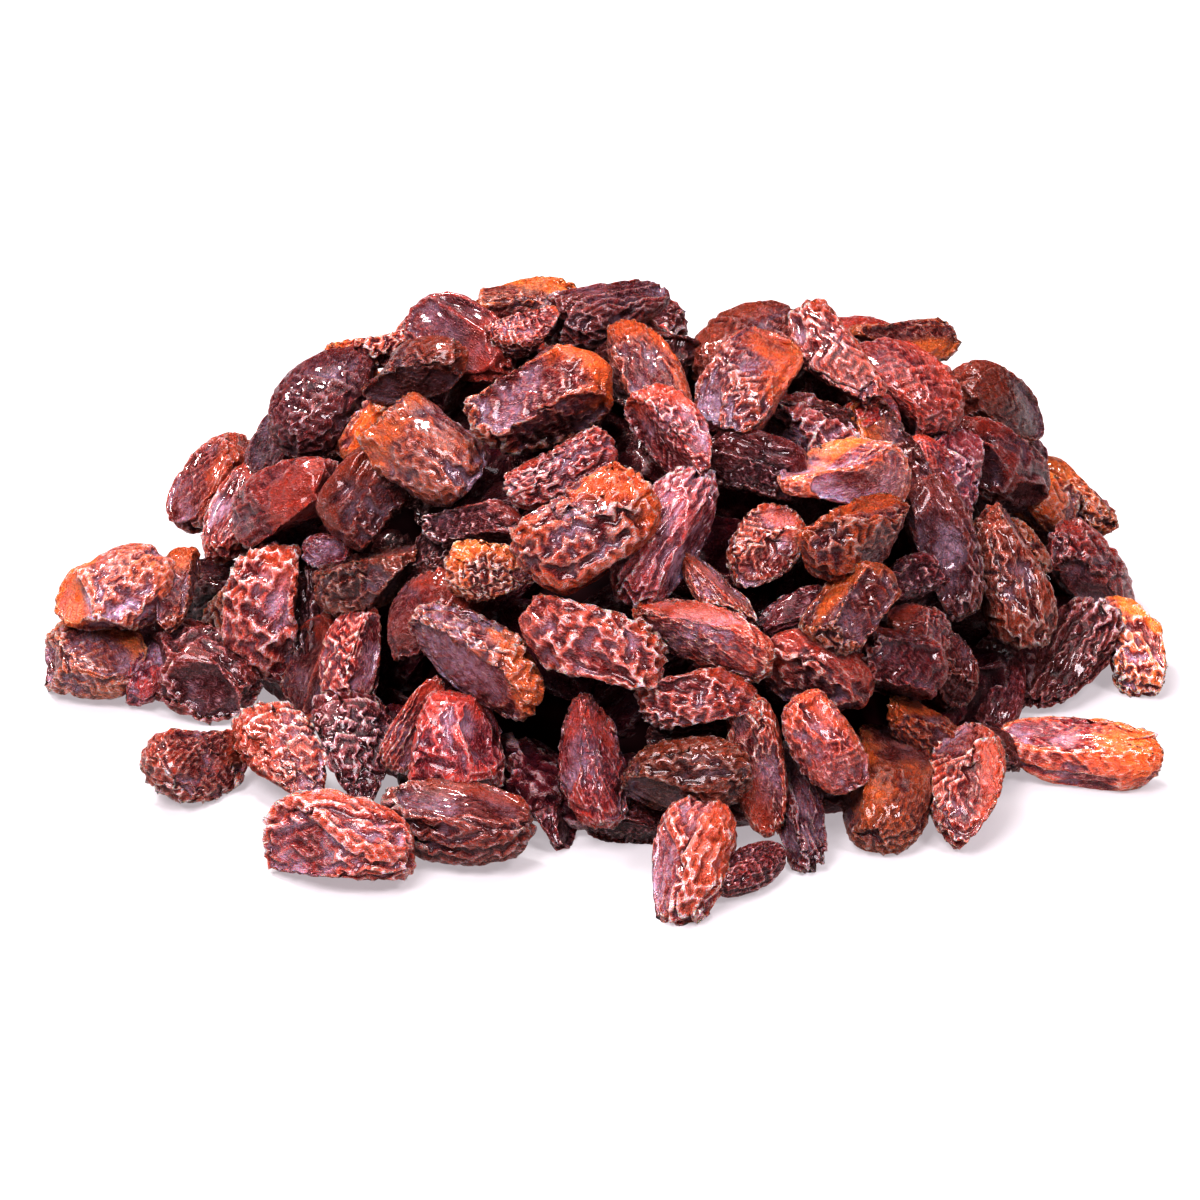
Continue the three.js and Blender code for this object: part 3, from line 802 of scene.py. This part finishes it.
def joined(name, pieces, shapes):
    """All raisins of one kind as one mesh, with what the material reads: each raisin's own places
    in millimetres, its crests and rims, its tone, and how near a point is to its upper edge, where
    glow is painted."""
    parts = []
    start = 0
    for piece in pieces:
        draw = np.random.default_rng([SEED, piece["number"]])
        shape = shapes[piece["style"]][draw.integers(VARIANTS)]
        mirror = draw.choice([-1.0, 1.0], size=3)
        local = shape["points"] * mirror * piece["half"]
        faces = shape["faces"] if mirror.prod() > 0 else shape["faces"][:, ::-1]
        points = local @ piece["axes"] + piece["at"]
        points[:, 2] = np.maximum(points[:, 2], LOWEST_POINT)
        grain = local + draw.uniform(-GRAIN_SPREAD, GRAIN_SPREAD, size=3)
        tone = np.full(len(points), draw.uniform())
        # Painted glow goes on the edge that faces up, towards the lights behind and above, and more
        # where the raisin is thin.
        upper = unit(piece["axes"] @ UP + EDGE_CHANCE * draw.normal(size=3))
        thin_edge = EDGE_START - EDGE_FALL * np.abs(shape["points"][:, 2])
        parts.append({
            "points": points,
            "faces": faces + start,
            "grain": grain,
            "crest": shape["crest"],
            "rim": shape["rim"],
            "tone": tone,
            "side": (shape["points"] * mirror) @ upper + thin_edge,
        })
        start += len(points)
    return make_mesh(name, {key: np.concatenate([part[key] for part in parts]) for key in parts[0]})


def add_object(name, data):
    made = bpy.data.objects.new(name, data)
    bpy.context.scene.collection.objects.link(made)
    return made


def smooth_mesh(name, points, faces):
    mesh = bpy.data.meshes.new(name)
    mesh.from_pydata((points * METRES).tolist(), [], faces.tolist())
    mesh.shade_smooth()
    return mesh


def make_mesh(name, rows):
    mesh = smooth_mesh(name, rows["points"], rows["faces"])
    grain = mesh.attributes.new("grain", "FLOAT_VECTOR", "POINT")
    grain.data.foreach_set("vector", rows["grain"].astype(np.float32).ravel())
    for key in ("crest", "rim", "tone", "side"):
        layer = mesh.attributes.new(key, "FLOAT", "POINT")
        layer.data.foreach_set("value", rows[key].astype(np.float32))
    return add_object(name, mesh)


class Nodes:
    """Short ways to build a material."""

    def __init__(self, name):
        self.material = bpy.data.materials.new(name)
        self.material.use_nodes = True
        self.tree = self.material.node_tree
        self.shader = self.tree.nodes["Principled BSDF"]

    def node(self, kind, inputs=None, **settings):
        made = self.tree.nodes.new("ShaderNode" + kind)
        for key, value in settings.items():
            setattr(made, key, value)
        self.fill(made, inputs or {})
        return made

    def fill(self, made, inputs):
        """Gives a node its inputs, each a number, a colour or the output of another node."""
        for key, value in inputs.items():
            if isinstance(value, bpy.types.NodeSocket):
                self.tree.links.new(value, made.inputs[key])
            else:
                made.inputs[key].default_value = value

    def attribute(self, name, output="Fac"):
        return self.node("Attribute", attribute_name=name).outputs[output]

    def math(self, operation, a, b=0.0, clamp=False):
        return self.node("Math", {0: a, 1: b}, operation=operation, use_clamp=clamp).outputs[0]

    def add(self, a, b):
        return self.math("ADD", a, b)

    def minus(self, a, b):
        return self.math("SUBTRACT", a, b)

    def times(self, a, b, clamp=False):
        return self.math("MULTIPLY", a, b, clamp)

    def span(self, value, low, high, to_low=0.0, to_high=1.0):
        """A value taken from one span to another, eased at both ends."""
        inputs = {"Value": value, "From Min": low, "From Max": high, "To Min": to_low, "To Max": to_high}
        return self.node("MapRange", inputs, interpolation_type="SMOOTHSTEP").outputs[0]

    def mix(self, part, a, b):
        """A mix of two colours, whose sockets come after those for numbers and vectors."""
        return self.node("Mix", {0: part, 6: a, 7: b}, data_type="RGBA").outputs[2]

    def noise(self, where, scale, detail=2.0, rough=0.5, twist=0.0):
        inputs = {"Vector": where, "Scale": scale, "Detail": detail, "Roughness": rough}
        return self.node("TexNoise", {**inputs, "Distortion": twist}).outputs["Fac"]


# Each kind's colours: the painted shade in its hollows, the flat of its skin, the painted glow of
# light shining through its thin rims and upper edge, and its crests, partly paler dried skin and
# mostly painted highlight. Then how strong its glowing rims, pale crests, painted sheen and glowing
# edge are, and its gloss. The last is the layer under the outer raisins, whose dark, dull colours
# are painted shade.
KINDS = {
    "red": {
        "hollow_shade": (0.075, 0.002, 0.006), "skin": (0.28, 0.017, 0.016),
        "rim": (0.62, 0.08, 0.014), "crest": (0.66, 0.46, 0.47),
        "rims": 0.5, "crests": 0.62, "painted_sheen": 0.9, "backlit_glow": 0.6, "gloss": 0.55,
    },
    "amber": {
        "hollow_shade": (0.09, 0.003, 0.006), "skin": (0.3, 0.021, 0.017),
        "rim": (0.82, 0.17, 0.012), "crest": (0.78, 0.54, 0.49),
        "rims": 0.7, "crests": 0.68, "painted_sheen": 1.0, "backlit_glow": 1.0, "gloss": 0.55,
    },
    # The pale kind is pale mostly by painted light: strong painted sheen and brighter painted highlights
    # on its crests.
    "pale": {
        "hollow_shade": (0.085, 0.004, 0.01), "skin": (0.29, 0.03, 0.028),
        "rim": (0.82, 0.18, 0.016), "crest": (0.8, 0.6, 0.6),
        "rims": 0.6, "crests": 0.75, "painted_sheen": 1.5, "backlit_glow": 0.9, "gloss": 0.65,
    },
    "brown": {
        "hollow_shade": (0.06, 0.002, 0.005), "skin": (0.22, 0.018, 0.014),
        "rim": (0.62, 0.085, 0.012), "crest": (0.65, 0.47, 0.42),
        "rims": 0.5, "crests": 0.68, "painted_sheen": 0.8, "backlit_glow": 0.5, "gloss": 0.55,
    },
    "plum": {
        "hollow_shade": (0.06, 0.002, 0.01), "skin": (0.17, 0.012, 0.021),
        "rim": (0.6, 0.065, 0.014), "crest": (0.6, 0.48, 0.53),
        "rims": 0.35, "crests": 0.65, "painted_sheen": 1.1, "backlit_glow": 0.3, "gloss": 0.55,
    },
    "dark": {
        "hollow_shade": (0.02, 0.001, 0.003), "skin": (0.08, 0.004, 0.009),
        "rim": (0.4, 0.035, 0.01), "crest": (0.52, 0.32, 0.35),
        "rims": 0.25, "crests": 0.5, "painted_sheen": 0.2, "backlit_glow": 0.2, "gloss": 0.55,
    },
    # Painted shade: the layer deep in the heap gets dark, dull copies of the raisin colours.
    "under": {
        "hollow_shade": (0.035, 0.001, 0.006), "skin": (0.09, 0.004, 0.012),
        "rim": (0.14, 0.012, 0.012), "crest": (0.15, 0.04, 0.05),
        "rims": 0.3, "crests": 0.3, "painted_sheen": 0.1, "backlit_glow": 0.0, "gloss": 0.2,
    },
}
# The colours of the painted sheen, a violet-white reflection on the broad dents, and of the painted
# glint on the tops of crests.
SHEEN = (0.66, 0.45, 0.58, 1)
GLINT = (0.94, 0.82, 0.82, 1)

# Noises over the skin: their middle value, their scales per millimetre, the stretch that draws
# wrinkles out along the raisin, and how wide and how crooked the crests are that follow them.
MIDDLE = 0.5
PATCH_SCALE = 0.2
MOTTLE_SCALE = 0.9
FINEST_SCALE = 5.0
STRETCH = (0.55, 1.15, 1.15)
FOLD_SCALE = 1.2
FOLD_WIDTH = 0.08
LINE_SCALE = 2.2
LINE_WIDTH = 0.09
CROOKED = 0.7

# Wrinkles: the level and the height of the drawn folds beside the real ones, and the spans of
# heights over which the painted shade in the hollows turns to skin, a crest turns pale and its top
# gets a painted glint. A pale crest is partly paler dried skin and mostly a painted highlight. Then
# how much glints and fine lines count, and how the paleness of a crest follows the mottle.
FOLD_LEVEL = 0.35
FOLD_HEIGHT = 1.3
HOLLOW_SHADE_SPAN = (-1.1, 0.9)
CREST_SPAN = (0.1, 1.5)
GLINT_SPAN = (1.2, 2.3)
GLINT_SHARE = 0.85
LINE_SHARE = 0.35
PALE_MOTTLE = (0.38, 0.62)
PALE_LEAST = 0.2

# Painted glow of light shining through the upper edge and the thin rims: the spans over which it
# comes in, how mottled the edge glow is, and how much of the crests and sheen it hides.
GLOW_SPAN = (0.5, 0.8)
GLOW_MOTTLE = 0.4
GLOW_HIDES = 0.8
RIM_GLOW_SPAN = (0.9, 2.4)

# Painted sheen, a violet-white reflection: which patches have it, more of them for more sheen, how
# it is mottled, how it lies in the broad dents and not on rims, and how much of the skin it covers.
SHEEN_LEVEL = 0.55
SHEEN_MORE = 0.15
SHEEN_EASE = 0.2
SHEEN_MOTTLE = (0.3, 0.6, 0.4, 1.0)
SHEEN_DENTS = (0.8, -0.6, 0.1, 1.0)
SHEEN_SHARE = 0.6

# How the raisins of one kind differ in hue and brightness, how often brightness runs through its
# span while hue does so once, and how saturated all are.
HUES = (0.494, 0.506)
VALUES = (0.55, 1.4)
VALUE_TURNS = 7.3
SATURATION = 0.96

# The fine relief: its depth in metres, and the shares of its lines and of its grain. Then how the
# roughness follows the mottle, and what is the same all over the skin.
BUMP_DEPTH = 0.00032
BUMP_LINES = 0.6
BUMP_GRAIN = 0.25
ROUGHNESS = (0.3, 0.7, 0.22, 0.4)
SKIN_FINISH = {
    "Subsurface Weight": 0.4,
    "Subsurface Radius": (1.0, 0.25, 0.12),
    "Subsurface Scale": 0.0016,
    "IOR": 1.5,
    "Specular Tint": (1.0, 0.45, 0.42, 1),
    "Coat Roughness": 0.1,
}


def crest_lines(n, where, scale, width):
    """Narrow wandering crests: the lines along which a noise passes its middle value."""
    noise = n.noise(where, scale, twist=CROOKED)
    return n.span(n.math("ABSOLUTE", n.minus(noise, MIDDLE)), 0.0, width, 1.0, 0.0)


def skin_marks(n):
    """What the colour and the relief follow: the values on the mesh, and noises over the skin."""
    grain = n.attribute("grain", "Vector")
    stretched = n.node("VectorMath", {0: grain, 1: STRETCH}, operation="MULTIPLY")
    marks = {name: n.attribute(name) for name in ("crest", "rim", "tone", "side")}
    marks["patches"] = n.noise(grain, PATCH_SCALE)
    marks["mottle"] = n.noise(grain, MOTTLE_SCALE, detail=3.0, rough=0.6)
    marks["finest"] = n.noise(grain, FINEST_SCALE)
    marks["folds"] = crest_lines(n, stretched.outputs[0], FOLD_SCALE, FOLD_WIDTH)
    marks["lines"] = crest_lines(n, stretched.outputs[0], LINE_SCALE, LINE_WIDTH)
    return marks


def backlit_glow_patches(n, marks, look):
    """Painted glow along the top of a raisin, where light shines through, with a ragged edge."""
    backlit_glow = n.add(marks["side"], n.minus(marks["patches"], MIDDLE))
    backlit_glow = n.add(backlit_glow, n.times(n.minus(marks["mottle"], MIDDLE), GLOW_MOTTLE))
    return n.times(n.span(backlit_glow, *GLOW_SPAN), look["backlit_glow"])


# Painted highlight: crests and fine lines turn pale, partly paler dried skin and mostly light caught on
# them.
def pale_crest_highlights(n, marks, look, fold):
    pale = n.add(n.span(fold, *CREST_SPAN), n.times(marks["lines"], LINE_SHARE))
    return n.times(pale, n.span(marks["mottle"], *PALE_MOTTLE, PALE_LEAST, look["crests"]), True)


# Painted sheen: patches of violet-white reflection in the broad dents.
def sheen_patches(n, marks, look):
    sheen_from = SHEEN_LEVEL - SHEEN_MORE * look["painted_sheen"]
    patches = n.span(marks["patches"], sheen_from, sheen_from + SHEEN_EASE)
    painted_sheen = n.times(patches, n.span(marks["mottle"], *SHEEN_MOTTLE))
    return n.times(painted_sheen, n.span(marks["rim"], *SHEEN_DENTS))


def skin_colour(n, marks, look):
    """Painted shade in the hollows, painted glow on rims and the upper edge, then pale crests with
    painted highlights, and painted sheen where there is no glow.
    """
    hollow_shade, flat, rim, crest = ((*look[key], 1) for key in ("hollow_shade", "skin", "rim", "crest"))
    fold = n.add(marks["crest"], n.times(n.minus(marks["folds"], FOLD_LEVEL), FOLD_HEIGHT))
    deep = n.add(fold, n.minus(marks["mottle"], MIDDLE))
    # Painted shade: the skin darkens towards the low folds, broken by the mottle.
    skin = n.mix(n.span(deep, *HOLLOW_SHADE_SPAN), hollow_shade, flat)
    # Painted glow: light shining through the upper edge and the thin rims, in the rim colour.
    backlit_glow = backlit_glow_patches(n, marks, look)
    thin_rim_glow = n.times(n.span(n.add(marks["rim"], marks["mottle"]), *RIM_GLOW_SPAN), look["rims"])
    skin = n.mix(n.math("MAXIMUM", backlit_glow, thin_rim_glow), skin, rim)
    dull = n.minus(1.0, n.times(backlit_glow, GLOW_HIDES))
    # Painted highlight on the crests, partly paler dried skin, and a painted glint on their tops.
    skin = n.mix(n.times(pale_crest_highlights(n, marks, look, fold), dull), skin, crest)
    skin = n.mix(n.times(n.span(fold, *GLINT_SPAN), look["crests"] * GLINT_SHARE), skin, GLINT)
    # Painted sheen where there is no glow.
    painted_sheen = n.times(sheen_patches(n, marks, look), dull)
    return n.mix(n.times(painted_sheen, look["painted_sheen"] * SHEEN_SHARE, True), skin, SHEEN)


def toned(n, marks, colour):
    """The colour made a little different for each raisin."""
    return n.node("HueSaturation", {
        "Hue": n.span(marks["tone"], 0, 1, *HUES),
        "Saturation": SATURATION,
        "Value": n.span(n.math("FRACT", n.times(marks["tone"], VALUE_TURNS)), 0, 1, *VALUES),
        "Color": colour,
    }).outputs[0]


def skin_bump(n, marks):
    height = n.add(marks["folds"], n.times(marks["lines"], BUMP_LINES))
    height = n.add(height, n.times(marks["finest"], BUMP_GRAIN))
    bump = n.node("Bump", {"Strength": 1.0, "Distance": BUMP_DEPTH, "Height": height})
    return bump.outputs[0]


def skin_material(kind):
    look = KINDS[kind]
    n = Nodes("skin_" + kind)
    marks = skin_marks(n)
    n.fill(n.shader, {
        "Base Color": toned(n, marks, skin_colour(n, marks, look)),
        "Roughness": n.span(marks["mottle"], *ROUGHNESS),
        "Normal": skin_bump(n, marks),
        "Coat Weight": look["gloss"],
        **SKIN_FINISH,
    })
    return n.material


# The core: its lowest point and its lumps in mm, how many waves these are, with the least and the
# most radians per mm, and its near-black colours, painted shade for the inside of the heap, with
# the scale per metre and the span of their noise.
CORE_BOTTOM = 0.5
CORE_LUMP = 1.2
CORE_WAVES = (16, 0.4, 0.9)
CORE_MOTTLE = 300.0
CORE_SPAN = (0.3, 0.7)
CORE_DARK = (0.010, 0.001, 0.003, 1)
CORE_LIGHT = (0.04, 0.004, 0.007, 1)


def core_material():
    n = Nodes("core_shade")
    where = n.node("TexCoord").outputs["Object"]
    mottle = n.noise(where, CORE_MOTTLE, detail=3.0)
    # Painted shade: near-black mottled colours for the shaded inside of the heap.
    n.fill(n.shader, {
        "Base Color": n.mix(n.span(mottle, *CORE_SPAN), CORE_DARK, CORE_LIGHT),
        "Roughness": 0.6,
        "Specular IOR Level": 0.1,
    })
    return n.material


def make_core():
    """The inside of the heap: a low dome, dark as painted shade, with lumps the size of raisins."""
    points, faces = ball(COARSE_LEVEL + 1)
    draw = np.random.default_rng(SEED)
    angle = np.arctan2(points[:, 1], points[:, 0])
    out = np.hypot(points[:, 0], points[:, 1]) * (reach_at(angle) - CORE_DEPTH)
    x, y = out * np.cos(angle), out * np.sin(angle)
    height = dome_height(x, y, CORE_DEPTH)
    lumps = CORE_LUMP * waves(np.stack([x, y, height], 1), draw, *CORE_WAVES)
    z = np.where(points[:, 2] > 0, np.maximum(height + lumps, CORE_BOTTOM), CORE_BOTTOM)
    mesh = smooth_mesh("heap_core", np.stack([x, y, z], 1), faces)
    mesh.materials.append(core_material())
    return add_object("heap_core", mesh)


def declare(piece):
    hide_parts("raisins")
    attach(piece, "root")


def make_heap():
    """The outer raisins joined by kind, the reds as two pieces, the layer under them and the core."""
    shapes = make_variants()
    outer = settle(ease(place_fillers([place_listed(row) for row in LISTED])))
    outer += [place_listed(row) for row in IN_GAPS]
    under = place_fillers(place_foot(), UNDER_INSET, UNDER_DISTANCE)
    for number, piece in enumerate(outer + under):
        piece["number"] = number
    reds = [p for p in outer if p["kind"] == "red"]
    groups = {"raisins_red_a": ("red", reds[0::2]), "raisins_red_b": ("red", reds[1::2])}
    for kind in ("amber", "pale", "brown", "plum", "dark"):
        groups["raisins_" + kind] = (kind, [p for p in outer if p["kind"] == kind])
    # The layer under them takes the dark, dull colours that are painted shade.
    groups["raisins_under"] = ("under", under)
    skins = {kind: skin_material(kind) for kind in KINDS}
    for name, (kind, pieces) in groups.items():
        piece = joined(name, pieces, coarse_shapes(shapes) if kind == "under" else shapes)
        piece.data.materials.append(skins[kind])
        declare(piece)
    declare(make_core())


# The nearest that the camera sees, the floor's radius and sides, and where the lights aim, in metres.
CLIP_START = 0.01
FLOOR_RADIUS = 3.0
FLOOR_SIDES = 64
AIM = Vector((0, 0, 0.02))
WHITE = (1, 1, 1)
PINKISH = (1.0, 0.95, 1.0)

# Each light: its place and width in metres, its power in watts and its colour.
LIGHTS = {
    "sky": ((0.0, 0.4, 2.0), 1.6, 18, WHITE),
    "key": ((-0.7, 0.7, 1.5), 0.3, 20, WHITE),
    "front_left": ((-0.6, -0.9, 1.4), 0.8, 31, PINKISH),
    "front_right": ((0.7, -0.8, 1.2), 0.4, 12, PINKISH),
}

# The faint red light that raisins throw into each other's hollows, and how the picture is exposed.
WORLD_COLOUR = (1.0, 0.4, 0.5, 1)
WORLD_STRENGTH = 0.07
EXPOSURE = 0.6
GAMMA = 0.72


def make_camera():
    lens = bpy.data.cameras.new("camera")
    lens.sensor_width = SENSOR_MM
    lens.lens = SENSOR_MM * FOCAL_PX / PHOTO_PX
    lens.clip_start = CLIP_START
    camera = add_object("camera", lens)
    turn = Matrix([RIGHT, PICTURE_UP, -LOOK]).transposed().to_4x4()
    camera.matrix_world = Matrix.Translation(Vector(EYE * METRES)) @ turn
    bpy.context.scene.camera = camera


def make_floor():
    """A plain white surface, which glows a little so that its shadows stay faint."""
    bm = bmesh.new()
    bmesh.ops.create_circle(bm, cap_ends=True, segments=FLOOR_SIDES, radius=FLOOR_RADIUS)
    mesh = bpy.data.meshes.new("floor")
    bm.to_mesh(mesh)
    bm.free()
    n = Nodes("floor_white")
    n.fill(n.shader, {
        "Base Color": (0.28, 0.28, 0.28, 1),
        "Emission Color": (1.0, 0.93, 0.97, 1),
        "Emission Strength": 0.35,
        "Roughness": 0.8,
        "Specular IOR Level": 0.2,
    })
    mesh.materials.append(n.material)
    floor = add_object("floor", mesh)


def make_lights():
    """Soft square lights, aimed at the heap."""
    for name, (place, size, power, colour) in LIGHTS.items():
        light = bpy.data.lights.new(name, "AREA")
        light.size = size
        light.energy = power
        light.color = colour
        lamp = add_object(name, light)
        lamp.location = place
        lamp.rotation_euler = (AIM - Vector(place)).to_track_quat("-Z", "Y").to_euler()


def make_world():
    world = bpy.data.worlds.new("studio")
    world.use_nodes = True
    background = world.node_tree.nodes["Background"]
    background.inputs["Color"].default_value = WORLD_COLOUR
    background.inputs["Strength"].default_value = WORLD_STRENGTH
    bpy.context.scene.world = world
    view = bpy.context.scene.view_settings
    view.view_transform = "Standard"
    view.exposure = EXPOSURE
    view.gamma = GAMMA


make_camera()
make_lights()
make_world()
make_floor()
make_heap()
